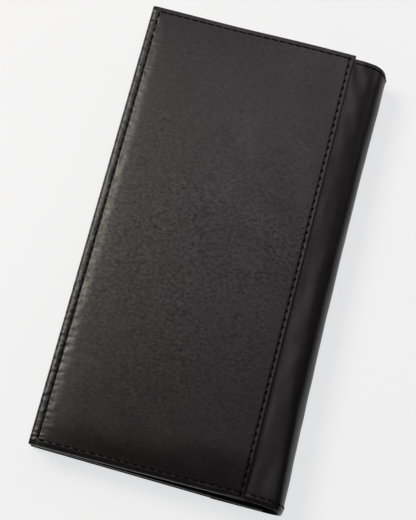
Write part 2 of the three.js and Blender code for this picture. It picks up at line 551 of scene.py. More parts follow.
@dataclass(frozen=True)
class SmoothLeather:
    """Full-grain cowhide, dyed black and waxed.

    It gives the eye a satin black with soft cloudy tones and fine pits in patches, which break up
    the gloss more where the hide is loose: in the middle of the wallet, less towards its sewn ends.
    """

    name: str
    colour: str
    light_colour: str
    roughness: float
    roughness_swing: float = 0.04
    gloss: float = 0.4
    grain_mm: float = 1.0
    grain_stretch: float = 1.4
    grain_depth_mm: float = 0.03
    fine_share: float = 0.6
    speckle: float = 1.65
    patch_mm: float = 6.0
    patch_span: Span = (0.6, 1.0)
    cloud_mm: float = 14.0
    slack_mm: float = 45.0
    slack_span: Span = (1.0, 0.7)
    noise_span: Span = (0.35, 0.65)
    loose_middle_m: tuple[float, float, float] = (0.005, -0.012, 0.01)
    loose_reach_m: Span = (0.03, 0.085)
    loose_span: Span = (1.0, 0.4)

    def looseness(self, tree: Tree) -> Socket:
        """How loose the hide is, which also varies slowly over it.

        Args:
            tree: The material's tree.

        Returns:
            The looseness, up to 1.
        """
        ends = {0: own_place(tree), 1: self.loose_middle_m}
        away = add_node(tree, "ShaderNodeVectorMath", ends, operation="DISTANCE").outputs["Value"]
        middle = mapped(tree, away, self.loose_reach_m, self.loose_span)
        slow = cloudy(tree, self.slack_mm, 1.0, self.fine_share)
        return calculated(tree, "MULTIPLY", mapped(tree, slow, self.noise_span, self.slack_span), middle)

    def material(self) -> Material:
        """Builds the material.

        Returns:
            The material.
        """
        material, tree, shader = new_material(self.name)
        cloud = cloudy(tree, self.cloud_mm, 5.0, self.fine_share)
        grain = cloudy(tree, self.grain_mm, 3.0, self.fine_share, self.grain_stretch)
        patch = cloudy(tree, self.patch_mm, 2.0, self.fine_share)
        loose = self.looseness(tree)
        pits = calculated(tree, "SUBTRACT", grain, 0.5)
        pits = calculated(tree, "MULTIPLY", pits, mapped(tree, patch, self.noise_span, self.patch_span))
        pits = calculated(tree, "MULTIPLY", pits, loose)
        tones = mapped(tree, cloud, self.noise_span, (0.0, 1.0))
        duller = self.roughness + self.roughness_swing
        shinier = self.roughness - self.roughness_swing
        glossy = (2.0 * self.speckle * self.gloss, self.gloss)
        inputs = {
            "Base Color": mixed(tree, tones, self.colour, self.light_colour),
            "Roughness": mapped(tree, cloud, self.noise_span, (duller, shinier)),
            "Specular IOR Level": calculated(tree, "MULTIPLY_ADD", pits, *glossy),
            "Normal": bumped(tree, grain, self.grain_depth_mm, loose),
        }
        connect(tree, shader, inputs)
        return material


@dataclass(frozen=True)
class Finish:
    """A finish with one roughness, and one colour if its pattern gives no other."""

    name: str
    colour: str
    roughness: float

    def pattern(self, tree: Tree) -> dict[str, Any]:
        """The shader's further inputs."""
        return {}

    def material(self) -> Material:
        """Builds the material.

        Returns:
            The material.
        """
        material, tree, shader = new_material(self.name)
        inputs = {"Base Color": linear(self.colour), "Roughness": self.roughness}
        connect(tree, shader, {**inputs, **self.pattern(tree)})
        return material


@dataclass(frozen=True)
class EdgePaint(Finish):
    """Black acrylic paint, burnished on a cut leather edge: smoother and glossier than the grain."""

    name: str = "painted_edge"
    colour: str = "1b1a1a"
    roughness: float = 0.4
    lump_mm: float = 1.6
    lump_depth_mm: float = 0.05

    def pattern(self, tree: Tree) -> dict[str, Any]:
        """Soft lumps."""
        return {"Normal": bumped(tree, cloudy(tree, self.lump_mm, 3.0), self.lump_depth_mm)}


@dataclass(frozen=True)
class SewingThread(Finish):
    """Bonded polyester thread, black: dull, with its twist just showing."""

    name: str = "polyester_thread"
    colour: str = "030303"
    roughness: float = 0.9
    gloss: float = 0.08
    twist_mm: float = 0.5
    twist_depth_mm: float = 0.06

    def pattern(self, tree: Tree) -> dict[str, Any]:
        """The twist, and little gloss."""
        normal = bumped(tree, banded(tree, self.twist_mm, "DIAGONAL"), self.twist_depth_mm)
        return {"Normal": normal, "Specular IOR Level": self.gloss}


@dataclass(frozen=True)
class LiningCloth(Finish):
    """Plain-woven nylon lining, black: matt, with a square weave.

    The weave is drawn at about twice its real spacing, or it wouldn't show.
    """

    name: str = "nylon_lining"
    colour: str = "121214"
    roughness: float = 0.75
    yarn_mm: float = 0.6
    yarn_depth_mm: float = 0.08

    def pattern(self, tree: Tree) -> dict[str, Any]:
        """The weave."""
        warp, weft = [banded(tree, self.yarn_mm, direction) for direction in ("X", "Y")]
        return {"Normal": bumped(tree, calculated(tree, "MULTIPLY", warp, weft), self.yarn_depth_mm)}


@dataclass(frozen=True)
class FillerFelt(Finish):
    """Needled felt of grey-brown wool waste: dull and fibrous."""

    name: str = "needled_felt"
    colour: str = "55504a"
    roughness: float = 0.95
    dark_colour: str = "3f3b37"
    fibre_mm: float = 0.8

    def pattern(self, tree: Tree) -> dict[str, Any]:
        """Fibres of two shades."""
        fibres = cloudy(tree, self.fibre_mm, 6.0)
        return {"Base Color": mixed(tree, fibres, self.dark_colour, self.colour)}


@dataclass(frozen=True)
class ClearFilm(Finish):
    """Calendered clear PVC: glossy, faintly grey, with slow waves in its gloss."""

    name: str = "clear_pvc"
    colour: str = "e6eaec"
    roughness: float = 0.08
    ior: float = 1.53
    wave_mm: float = 9.0
    wave_depth_mm: float = 0.06

    def pattern(self, tree: Tree) -> dict[str, Any]:
        """Slow waves in a clear sheet."""
        normal = bumped(tree, cloudy(tree, self.wave_mm, 1.0), self.wave_depth_mm)
        return {"Normal": normal, "IOR": self.ior, "Transmission Weight": 1.0}


@dataclass(frozen=True)
class WhiteCard:
    """Matt white card, which looks paler than the light that it throws on the wallet."""

    name: str = "matt_white_card"
    colour: str = "ecebe9"
    seen: str = "f9fafc"
    paleness: float = 0.74
    roughness: float = 0.9

    def material(self) -> Material:
        """Builds the material.

        Returns:
            The material.
        """
        material, tree, shader = new_material(self.name)
        connect(tree, shader, {"Base Color": linear(self.colour), "Roughness": self.roughness})
        ray = add_node(tree, "ShaderNodeLightPath", {}).outputs
        looked_at = calculated(tree, "MAXIMUM", ray["Is Camera Ray"], ray["Is Glossy Ray"])
        looked_at = calculated(tree, "MAXIMUM", looked_at, ray["Is Transmission Ray"])
        share = calculated(tree, "MULTIPLY", looked_at, self.paleness)
        pale = add_node(tree, "ShaderNodeEmission", {"Color": linear(self.seen)}).outputs["Emission"]
        blend = add_node(tree, "ShaderNodeMixShader", {0: share, 1: shader.outputs["BSDF"], 2: pale})
        connect(tree, tree.nodes["Material Output"], {"Surface": blend.outputs["Shader"]})
        return material


@dataclass(frozen=True)
class Wardrobe:
    """The materials of the wallet, each built once."""

    cover: Material
    fold: Material
    inner: Material
    edge: Material
    thread: Material
    lining: Material
    filler: Material
    film: Material

    @classmethod
    def build(cls) -> Wardrobe:
        """Builds every finish.

        Returns:
            The materials.
        """
        return cls(
            cover=SmoothLeather("waxed_cowhide", "090809", "0f0d0f", 0.38).material(),
            fold=SmoothLeather("soft_cowhide", "090809", "0f0d0e", 0.38, speckle=0.7).material(),
            inner=SmoothLeather("inner_cowhide", "171616", "211f1f", 0.55, speckle=0.7).material(),
            edge=EdgePaint().material(),
            thread=SewingThread().material(),
            lining=LiningCloth().material(),
            filler=FillerFelt().material(),
            film=ClearFilm().material(),
        )


def dress(piece: Piece, slot: Slot | None, *materials: Material) -> None:
    """Gives a piece its materials.

    Args:
        piece: The piece.
        slot: The record's slot, or None for thread, which has none; not used.
        materials: The face's material, then the edge's.
    """
    piece.data.materials.clear()
    for material in materials:
        piece.data.materials.append(material)


# Sewing


@dataclass(frozen=True)
class Seam:
    """A row of machine stitches: each is a short thread that dips into its two holes.

    Its sizes are in millimetres, and its slant is in degrees.
    """

    length: float = 2.7
    thickness: float = 1.0
    slant: float = 10.0
    sink: float = 0.05
    pitch: float = 3.25
    dip: float = 0.35
    near: float = 0.4

    def stitch(self) -> tuple[Array, list[list[int]]]:
        """Models one stitch along x, in millimetres.

        Returns:
            Its points and its faces.
        """
        ball = {"segments": 8, "ring_count": 6, "radius": 0.5}
        piece = added("stitch", bpy.ops.mesh.primitive_uv_sphere_add, **ball)
        centre = (0.0, 0.0, 0.0)
        slant = math.radians(self.slant)
        with edit_mode():
            bpy.ops.mesh.select_all(action="SELECT")
            bpy.ops.transform.rotate(value=QUARTER, orient_axis="Y", center_override=centre)
            bpy.ops.transform.resize(value=(self.length, self.thickness, self.thickness))
            bpy.ops.transform.rotate(value=slant, orient_axis="Z", center_override=centre)
        points = np.array([v.co for v in piece.data.vertices])
        faces = [list(p.vertices) for p in piece.data.polygons]
        bpy.data.objects.remove(piece)
        points[:, 2] -= self.sink + self.dip * self.thickness * (2 * points[:, 0] / self.length) ** 2
        return points, faces

    def sew(self, name: str, surface: Surface, u: Array, v: Array, material: Material) -> Piece:
        """Sews along a line on a surface.

        Args:
            name: The seam's name.
            surface: Gives places in millimetres.
            u: The line's first coordinate, at close steps.
            v: The line's second coordinate.
            material: The thread.

        Returns:
            The seam, in metres.
        """
        near = self.near
        steps = np.linalg.norm(np.diff(surface(u, v), axis=0), axis=1)
        run = np.concatenate([[0.0], np.cumsum(steps)])
        count = max(1, round(run[-1] / self.pitch))
        middles = (np.arange(count) + 0.5) * run[-1] / count
        u_at, v_at = [np.interp(middles, run, line) for line in (u, v)]
        ahead = surface(*[np.interp(middles + near, run, line) for line in (u, v)])
        behind = surface(*[np.interp(middles - near, run, line) for line in (u, v)])
        along = ahead - behind
        along /= np.linalg.norm(along, axis=1, keepdims=True)
        across_u = surface(u_at + near, v_at) - surface(u_at - near, v_at)
        across_v = surface(u_at, v_at + near) - surface(u_at, v_at - near)
        up = np.cross(across_u, across_v)
        up -= along * np.sum(up * along, axis=1, keepdims=True)
        up /= np.linalg.norm(up, axis=1, keepdims=True)
        axes = np.stack([along, np.cross(up, along), up], axis=1)
        points, faces = self.stitch()
        all_points = surface(u_at, v_at)[:, None, :] + points @ axes
        all_faces = [[k + i * len(points) for k in face] for i in range(count) for face in faces]
        mesh = bpy.data.meshes.new(name)
        mesh.from_pydata((all_points.reshape(-1, 3) * MM).tolist(), [], all_faces)
        seam = bpy.data.objects.new(name, mesh)
        bpy.context.scene.collection.objects.link(seam)
        only(seam)
        bpy.ops.object.shade_smooth()
        dress(seam, None, material)
        return seam


@dataclass
class Half:
    """What every maker of a half's pieces has: the layout, the materials and the half itself."""

    layout: Layout
    wardrobe: Wardrobe
    side: Side

    def hang(self, piece: Piece, node: str | None = None) -> None:
        """Puts a finished piece on the half.

        Args:
            piece: The piece, in metres in the half's frame.
            node: The solid whose place it takes, or None for a seam.
        """
        settle(piece, self.layout.place(self.side))
        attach(piece, self.side.body)
        if node is not None:
            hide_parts(node)

    def sew(self, thread: Seam, name: str, surface: Surface, u: Array, v: Array) -> None:
        """Sews along a line on the half.

        Args:
            thread: The kind of seam.
            name: The seam's name.
            surface: Gives places in the half's frame.
            u: The line's first coordinate.
            v: The line's second coordinate.
        """
        self.hang(thread.sew(name, surface, u, v, self.wardrobe.thread))


# The covers


@dataclass
class Cover(Half):
    """An outer panel, sewn round its free edge, head and foot and down on the fold leather."""

    # From each cut edge to its seam, and how deep the seams press the panel
    free_margin: float = 2.95
    head_margin: float = 1.8
    foot_margin: float = 2.5
    fold_margin: float = 1.8
    press: float = 1.25
    # How the panel swells inside its seams
    wall: float = 0.58
    wall_run: float = 0.2
    slow_swell: float = 9.0
    bevel: float = 0.2
    bevel_width: float = 4.2
    bevel_run: float = 6.0
    bevel_gain: float = 0.35
    bevel_span: Span = (-0.1, 0.5)
    head_swell: float = 20.0
    foot_swell: float = 5.0
    foot_power: float = 1.5
    free_share: float = 0.45
    share_span: Span = (8.0, 45.0)
    foot_droop: float = 1.35
    droop_length: float = 16.0
    lap_ramp: float = 40.0
    crown: float = 0.6
    waves: Waves = Waves(0.05, 17.0, 23.0, 5.3)
    # How the thread draws the leather in, and how that crumples it
    free_groove: Groove = Groove(0.15, 0.34)
    head_groove: Groove = Groove(0.06, 0.34)
    foot_groove: Groove = Groove(0.03, 0.34)
    gate_span: Span = (-0.6, 0.4)
    lap_groove_in: Groove = Groove(0.15, 0.35)
    lap_groove_out: Groove = Groove(0.15, 0.9)
    pucker: float = 0.15
    pucker_run: float = 1.8
    pucker_swing: float = 0.3
    pucker_beats: Span = (0.61, 0.23)
    tight_slack: float = 0.15
    slack_rises: tuple[tuple[float, Span], ...] = ((0.35, (-0.9, -0.5)), (0.5, (-0.5, 0.4)))
    crumple_run: float = 3.0
    loose_crumple: Waves = Waves(0.066, 2.4, 1.9, 1.7)
    fine_crumple: Waves = Waves(0.12, 2.2, 1.0, 6.2)
    fine_share: float = 0.65
    fine_gain: float = 0.25
    margin_span: Span = (-0.4, 0.4)
    foot_crumple: Waves = Waves(0.06, 3.0, 1.2, 9.4)
    foot_span: Span = (-0.4, 0.6)
    # How the leather rolls down at its cut edges
    free_slope: float = 0.12
    free_roll: float = 1.7
    crease: Groove = Groove(0.12, 0.25)
    crease_at: float = 0.8
    foot_slope: float = 3.0
    foot_roll: float = 0.23
    foot_rim: float = 0.3
    foot_bow: float = 0.13
    foot_bow_run: float = 2.4
    worn_span: Span = (9.0, 7.0)
    worn_ease: float = 1.3
    worn_roll: float = 0.25
    head_slope: float = 0.35
    head_flat: float = 0.3
    fold_roll: float = 0.25
    fold_roll_width: float = 0.7
    fold_droop: float = 0.03
    droop_span: Span = (-0.2, 0.8)
    # The hand-cut outline and the thickness
    corner: float = 0.35
    head_reach: float = 0.2
    skew: float = 0.35
    skew_run: float = 30.0
    flare: float = 0.4
    flare_run: float = 9.0
    edge: float = 0.12
    least_ply: float = 0.25
    # Grid spacing on a seam and away from it
    across_spacing: Span = (0.2, 1.3)
    along_spacing: Span = (0.2, 0.55)
    # The seams; the back cover's are pressed in further
    free_seam: Seam = Seam(length=3.7, thickness=0.85)
    head_seam: Seam = Seam(length=4.4, thickness=0.7, slant=3.0)
    foot_seam: Seam = Seam(length=3.2, thickness=0.7, slant=6.0)
    lap_seam: Seam = Seam(length=2.3, thickness=1.0, slant=18.0)
    lap_end: float = 0.6
    lock_seam: Seam = Seam(length=2.3, thickness=0.9, slant=-14.0)
    lock_run: float = 15.0
    lock_aside: float = 0.35
    pressed: float = 0.25

    def inside_foot(self, y: Array) -> Array:
        """How far places are inside the foot seam."""
        return np.maximum(0.0, self.layout.head + y - self.foot_margin)

    def over_lap(self, x: Array) -> Array:
        """How far the panel lies on the fold leather's lap, from 0 to 1."""
        return smooth(x, self.layout.lap_x - self.lap_ramp, self.layout.lap_x)

    def slack(self, y: Array) -> Array:
        """How loosely the leather lies along the free seam, from 0 to 1: the most towards the foot."""
        down = -y / self.layout.head
        return self.tight_slack + sum(gain * smooth(down, *span) for gain, span in self.slack_rises)

    def rise(self, x: Array, y: Array) -> Array:
        """How far the panel has swelled inside its seams, from 0 to 1.

        Args:
            x: Places across.
            y: Places along.

        Returns:
            The rise.
        """
        head = self.layout.head
        inside = np.maximum(0.0, x - self.free_margin)
        inside_head = np.maximum(0.0, head - y - self.head_margin)
        slow = self.press - self.wall - self.bevel
        free = self.wall * grown(inside, self.wall_run) + slow * grown(inside, self.slow_swell)
        bevel = self.bevel * (1.0 + self.bevel_gain * smooth(y / head, *self.bevel_span))
        bevel = bevel * grown(inside_head, self.bevel_run) * smooth(inside, 0.0, self.bevel_width)
        swell = free * grown(inside_head, self.head_swell) + bevel
        share = np.interp(x, self.share_span, (self.free_share, 1.0))
        sunk = share * np.exp(-((self.inside_foot(y) / self.foot_swell) ** self.foot_power))
        return swell / self.press * (1.0 - sunk)

    def seam_marks(self, x: Array, y: Array) -> Array:
        """How deep the thread has drawn the leather in along the seams.

        Args:
            x: Places across.
            y: Places along.

        Returns:
            The depth, in millimetres.
        """
        head = self.layout.head
        from_free = x - self.free_margin
        from_head = head - y - self.head_margin
        from_foot = head + y - self.foot_margin
        from_fold = self.layout.cover_width - x - self.fold_margin
        inside_ends = smooth(from_head, *self.gate_span) * smooth(from_foot, *self.gate_span)
        inside_free = smooth(from_free, *self.gate_span)
        trenches = [
            inside_ends * self.free_groove.at(from_free),
            inside_free * self.head_groove.at(from_head),
            inside_free * self.foot_groove.at(from_foot),
        ]
        holes = 0.5 + 0.5 * np.cos(2 * math.pi * y / self.free_seam.pitch)
        drawn = np.exp(-np.abs(from_free) / self.pucker_run) * holes * (from_free > 0)
        first, second = self.pucker_beats
        swing = self.pucker_swing * np.sin(first * y) * np.sin(second * y + 1.0)
        uneven = (1.0 - self.pucker_swing + swing) * self.slack(y)
        puckers = self.pucker * uneven * drawn * inside_ends
        lap = np.where(from_fold > 0, self.lap_groove_in.at(from_fold), self.lap_groove_out.at(from_fold))
        return np.max(trenches, axis=0) + puckers + lap

    def crumples(self, x: Array, y: Array) -> Array:
        """Fine crumples along the free seam and on the margin at the foot.

        Args:
            x: Places across.
            y: Places along.

        Returns:
            Their height, in millimetres.
        """
        inside_free = x - self.free_margin
        on_margin = smooth(-inside_free, *self.margin_span)
        slack = self.slack(y) * (1.0 - on_margin)
        fine = self.fine_share + self.fine_gain * (slack + on_margin)
        along_free = slack * self.loose_crumple.at(x, y) + fine * self.fine_crumple.at(x, y)
        near_free = np.exp(-np.maximum(0.0, inside_free) / self.crumple_run)
        foot_hem = smooth(self.foot_margin - self.layout.head - y, *self.foot_span)
        return near_free * along_free + foot_hem * self.foot_crumple.at(x, y)

    def margins(self, x: Array, y: Array) -> Array:
        """How far the leather rolls down towards its cut edges.

        Args:
            x: Places across.
            y: Places along.

        Returns:
            The drop, in millimetres.
        """
        head = self.layout.head
        from_fold = self.layout.cover_width - x
        from_foot = head + y
        free = self.free_slope * np.clip(self.free_roll - x, 0.0, self.free_roll)
        free = free + self.crease.at(x - self.crease_at)
        worn = smooth(from_fold, *self.worn_span)
        rolled = np.clip(self.foot_roll + self.worn_roll * worn - from_foot, 0.0, None)
        foot = (self.foot_slope - self.worn_ease * worn) * rolled
        bow = np.clip(self.foot_bow_run - from_foot, 0.0, self.foot_bow_run - self.foot_rim)
        foot = foot + self.foot_bow * bow**2
        at_head = self.head_slope * np.clip(self.head_margin - self.head_flat - (head - y), 0.0, None)
        fold = self.fold_roll * np.clip(1.0 - from_fold / self.fold_roll_width, 0.0, 1.0) ** 2
        beyond_lap = np.clip(self.fold_margin - from_fold, 0.0, None)
        fold = fold + self.fold_droop * beyond_lap * smooth(-y / head, *self.droop_span)
        return free + foot + at_head + fold

    def cut(self, x: Array, y: Array) -> tuple[Array, Array]:
        """The hand-cut outline: the fold side out of square, and a little more left at the head.

        Args:
            x: Places across.
            y: Places along.

        Returns:
            The places, as they were cut.
        """
        head = self.layout.head
        width = self.layout.cover_width
        beyond_lap = np.clip(1.0 - (width - x) / self.fold_margin, 0.0, 1.0)
        beyond_head = np.clip(1.0 - (head - y) / self.head_margin, 0.0, 1.0)
        skewed = self.skew * y / head * smooth(x, width - self.skew_run, width - self.fold_margin)
        flared = self.flare * beyond_lap * smooth(y, head - self.flare_run, head)
        return x + skewed + flared, y + self.head_reach * beyond_head

    def rounded(self, x: Array, y: Array) -> tuple[Array, Array]:
        """Rounds the two corners at the free edge.

        Args:
            x: Places across.
            y: Places along.

        Returns:
            The places, with the corners drawn in.
        """
        radius = self.corner
        a = np.clip(radius - x, 0.0, radius)
        b = np.clip(np.abs(y) - self.layout.head + radius, 0.0, radius)
        in_corner = (a > 0) & (b > 0)
        pull = np.where(in_corner, np.maximum(a, b) / np.maximum(np.hypot(a, b), 1e-9), 1.0)
        return x + a * (1.0 - pull), y - np.sign(y) * b * (1.0 - pull)

    def surface(self, x: Array, y: Array) -> Array:
        """The outer face.

        Args:
            x: Places across, from the free edge.
            y: Places along.

        Returns:
            Points in the half's frame, in millimetres.
        """
        layout = self.layout
        over_lap = self.over_lap(x)
        level = layout.cover_level - self.press * (1.0 - self.rise(x, y)) * (1.0 - over_lap)
        drooped = np.clip(1.0 - self.inside_foot(y) / self.droop_length, 0.0, 1.0) ** 2
        level = level - self.foot_droop * over_lap * drooped
        z = level + self.crumples(x, y) - self.seam_marks(x, y) - self.margins(x, y)
        if self.side is Side.FRONT:
            dome = (1.0 - (2 * x / layout.cover_width - 1.0) ** 2) * (1.0 - (y / layout.head) ** 2)
            z = z + self.crown * dome + self.waves.at(x, y)
        x, y = self.rounded(*self.cut(x, y))
        return layout.laid(self.side, x, y, z)

    def skive(self, panel: Piece) -> Array:
        """The share of the thickness left, so that the inner face stays on the plies behind it.

        Args:
            panel: The panel's outer face, in metres in the half's frame.

        Returns:
            The share at each point.
        """
        x, _, z = coordinates(panel).T / MM
        inner = self.layout.ply_gap - self.press * (1.0 - self.over_lap(x))
        return np.clip((z - inner) / self.layout.cover_ply, self.least_ply, 1.0)

    def build(self) -> None:
        """Models the panel, puts it in place of its solid and sews it."""
        layout = self.layout
        width, length = layout.cover_width, layout.length
        lines = [self.crease_at, self.free_margin, width - self.fold_margin]
        columns = graded_lines(width, lines, *self.across_spacing)
        lines = [self.foot_rim, self.foot_margin, length - self.head_margin]
        rows = graded_lines(length, lines, *self.along_spacing) - layout.head
        panel = draped_grid(f"{self.side.value}_cover_panel", columns, rows, self.surface)
        dress(panel, Slot.COVER, self.wardrobe.cover, self.wardrobe.edge)
        thicken(panel, layout.cover_ply, self.edge, self.skive(panel))
        self.hang(panel, f"{self.side.value}_cover")
        self.sew_round()

    def sew_round(self) -> None:
        """Sews the panel round and down."""
        head = self.layout.head
        free, fold = self.free_margin, self.layout.cover_width - self.fold_margin
        foot, top = self.foot_margin - head, head - self.head_margin
        first, last = self.lap_end - head, head - self.lap_end
        aside = fold + self.lock_aside
        lines = {
            "free_seam": (self.free_seam, (free, free), (foot, top)),
            "head_seam": (self.head_seam, (free, fold), (top, top)),
            "foot_seam": (self.foot_seam, (free, fold), (foot, foot)),
            "lap_seam": (self.lap_seam, (fold, fold), (first, last)),
            "lap_lock": (self.lock_seam, (aside, aside), (first, self.lock_run - head)),
        }
        for name, (thread, across, along) in lines.items():
            if self.side is Side.BACK:
                thread = replace(thread, sink=thread.sink + self.pressed)
            u, v = line_between(*across), line_between(*along)
            self.sew(thread, f"{self.side.value}_{name}", self.surface, u, v)


# The fold


@dataclass
class Fold:
    """The soft leather round the fold and its lining, each in two parts that meet at mid-bend.

    The leather falls gently from the cover's edge, bends over the ends of the inner plies and goes
    round the outside in a wider bow. Each of the turns is a run from the cover's edge and the slope
    in degrees that the leather has there.
    """

    layout: Layout
    wardrobe: Wardrobe
    turns: tuple[Span, ...] = ((0.0, 0.0), (4.0, 3.5), (6.5, 8.0), (9.0, 15.0), (11.6, 40.0), (19.1, 90.0))
    turn_steps: int = 500
    # How the bow differs along its length
    waist: float = 1.2
    end_pull: float = 1.4
    head_inset: float = 0.4
    rake_from: float = 2.0
    rake_to: float = 3.0
    lie: float = 0.05
    lie_shift: float = 0.1
    lie_end: float = 0.9
    foot_fill: Groove = Groove(1.0, 4.0)
    fill_run: float = 11.6
    foot_push: float = 1.3
    foot_span: Span = (0.55, 1.0)
    # Hems and waves
    head_hem: float = 2.0
    foot_hem: float = 2.6
    groove: Groove = Groove(0.06, 0.4)
    hem_roll: float = 0.35
    roll_run: float = 1.5
    waves: Waves = Waves(0.05, 9.0, 26.0, 8.1)
    slack_waves: Waves = Waves(0.22, 5.0, 9.0, 3.3)
    slack_run: float = 3.0
    slack_share: float = 0.4
    slack_span: Span = (0.7, 1.0)
    head_seam: Seam = Seam(length=4.4, thickness=0.7, slant=3.0)
    foot_seam: Seam = Seam(length=3.4, thickness=0.8, slant=6.0)
    seam_start: float = 1.0
    # Plies, grids and the slope of the bend
    edge: float = 0.2
    lining_ply: float = 0.35
    lining_gap: float = 0.05
    lining_edge: float = 0.1
    lining_hem: float = 2.0
    spacing: Span = (0.25, 1.6)
    lining_spacing: Span = (0.5, 2.4)
    lap_steps: int = 12
    bend_steps: int = 80
    bend_slope: float = 0.7

    def section(self, depth: float) -> tuple[Array, Array, Array]:
        """One half of the fold's section, from the end of its lap to mid-bend.

        Args:
            depth: How far the ply lies under the outer face, in millimetres.

        Returns:
            The run along the outer face, and the places across and up from the centre of the bend.
        """
        layout = self.layout
        radius = layout.bend_radius
        flat = layout.bend_x - layout.cover_width
        runs, slopes = zip(*self.turns)
        reach = np.linspace(0.0, runs[-1], self.turn_steps)
        slope = np.radians(np.interp(reach, runs, slopes))
        x = np.cumsum(np.cos(slope)) - np.cos(slope[0])
        z = np.cumsum(np.sin(slope)) - np.sin(slope[0])
        x = (flat + radius) * x / x[-1] - flat
        z = radius * (1.0 - z / z[-1])
        z = z - np.maximum(0.0, x) * layout.tilt / 2 * (1.0 - z / radius)
        x = np.concatenate([[-flat - layout.lap], x])
        z = np.concatenate([[radius], z])
        run = np.concatenate([[0.0], np.cumsum(np.hypot(np.diff(x), np.diff(z)))])
        slope_x = np.gradient(x, run)
        slope_z = np.gradient(z, run)
        steep = np.hypot(slope_x, slope_z)
        return run, x + depth * slope_z / steep, z - depth * slope_x / steep

    @property
    def middle(self) -> float:
        """The run from the end of a lap to mid-bend."""
        return float(self.section(0.0)[0][-1])

    def dent(self, u: Array, v: Array, from_end: Array, sewn: bool) -> Array:
        """How far a ply lies in from its bow, at its hems and in its waves.

        Args:
            u: The run round the fold.
            v: Places along.
            from_end: How far they are from the nearer end.
            sewn: Whether the hems are sewn through the ply.

        Returns:
            The depth, in millimetres.
        """
        lap, middle, share = self.layout.lap, self.middle, v / self.layout.head
        along = middle - np.abs(u - middle)
        at_head = self.slack_share + (1.0 - self.slack_share) * smooth(share, *self.slack_span)
        loose = smooth(along, lap, lap + self.slack_run) * at_head
        dent = self.hem_roll * np.clip(self.roll_run - from_end, 0.0, self.roll_run)
        dent = dent - self.waves.at(u, v) - loose * self.slack_waves.at(u, v)
        if sewn:
            hem = np.where(share > 0, self.head_hem, self.foot_hem)
            dent = dent + self.groove.at(from_end - hem)
        return dent

    def place(self, depth: float, sewn: bool, u: Array, v: Array) -> Array:
        """A ply that follows the fold.

        Args:
            depth: How far it lies under the outer face, in millimetres.
            sewn: Whether the hems are sewn through it.
            u: The run round the fold, from the end of the front lap.
            v: Places along, from -head to head.

        Returns:
            Points from the centre of the bend, in millimetres.
        """
        layout = self.layout
        run, across, above = self.section(depth)
        middle = run[-1]
        along = middle - np.abs(u - middle)
        front = u < middle
        share = v / layout.head
        x = np.interp(along, run, across)
        z = np.interp(along, run, above)
        bulge = np.clip(x / (layout.bend_radius - depth), 0.0, 1.0)
        flat = 1.0 - bulge**2
        raked = layout.foot_rake * smooth(u, layout.lap + self.rake_from, middle + self.rake_to)
        head_end = layout.head - self.head_inset - self.end_pull * bulge**2
        end = np.where(share > 0, head_end, layout.head + raked)
        at_foot = smooth(-share, *self.foot_span)
        x = x - self.waist * bulge * (1.0 - share**2)
        x = x + self.foot_push * 4.0 * bulge * (1.0 - bulge) * at_foot
        beyond = np.maximum(0.0, x + layout.bend_x - layout.cover_width) * flat
        sway = np.sin(math.pi * np.clip(share + self.lie_shift, -self.lie_end, self.lie_end))
        filled = self.foot_fill.at(along - layout.lap - self.fill_run) * at_foot * flat
        z = z - self.lie * beyond * sway * front + filled
        dent = self.dent(u, v, end * (1.0 - np.abs(share)), sewn)
        x = x - dent * bulge
        z = z - dent * (1.0 - bulge)
        cos, sin = math.cos(layout.tilt), math.sin(layout.tilt)
        turned_x = np.where(front, x * cos - z * sin, x)
        turned_z = np.where(front, x * sin + z * cos, -z)
        return np.stack([turned_x, share * end, turned_z], axis=-1)

    def columns(self, side: Side) -> Array:
        """Grid lines round the fold for one part.

        Args:
            side: The half that the part is beside.

        Returns:
            The lines.
        """
        lap, middle = self.layout.lap, self.middle
        on_lap = np.linspace(0.0, lap, self.lap_steps)[:-1]
        half = np.concatenate([on_lap, np.linspace(lap, middle, self.bend_steps)])
        return half if side is Side.FRONT else 2 * middle - half[::-1]

    def hang(self, piece: Piece, side: Side) -> None:
        """Puts a finished piece round the fold.

        Args:
            piece: The piece, in metres from the centre of the bend.
            side: The half that it is beside.
        """
        layout = self.layout
        settle(piece, Matrix.Translation(layout.bend * MM))
        if side is Side.BACK:
            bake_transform(piece)
        else:
            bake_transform(piece)

    def lay(self, piece: Piece, side: Side, node: str) -> None:
        """Puts one part of a ply in place of its solid, as a folded sheet.

        Args:
            piece: The part, in metres from the centre of the bend.
            side: The half that it is beside.
            node: The solid.
        """
        self.hang(piece, side)
        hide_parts(node)
        columns = self.columns(side)

    def build(self) -> None:
        """Models the leather and the lining inside it, and sews their hems."""
        layout, wardrobe = self.layout, self.wardrobe
        length = layout.length
        hems = [self.foot_hem, length - self.head_hem]
        rows = graded_lines(length, hems, *self.spacing) - layout.head
        outside = partial(self.place, 0.0, True)
        for side in Side:
            piece = draped_grid(f"fold_leather_{side.value}", self.columns(side), rows, outside)
            dress(piece, Slot.COVER, wardrobe.fold, wardrobe.edge)
            thicken(piece, layout.fold_ply, self.edge)
            self.lay(piece, side, "fold_leather")
        hems = [self.lining_hem, length - self.lining_hem]
        rows = graded_lines(length, hems, *self.lining_spacing) - layout.head
        inside = partial(self.place, layout.fold_ply + self.lining_gap, False)
        for side in Side:
            piece = draped_grid(f"fold_lining_{side.value}", self.columns(side), rows, inside)
            dress(piece, Slot.LINING, wardrobe.lining, wardrobe.lining)
            thicken(piece, self.lining_ply, self.lining_edge)
            self.lay(piece, side, "fold_lining")
        for side in Side:
            self.sew("head", self.head_seam, layout.head - self.head_hem, side)
            self.sew("foot", self.foot_seam, self.foot_hem - layout.head, side)

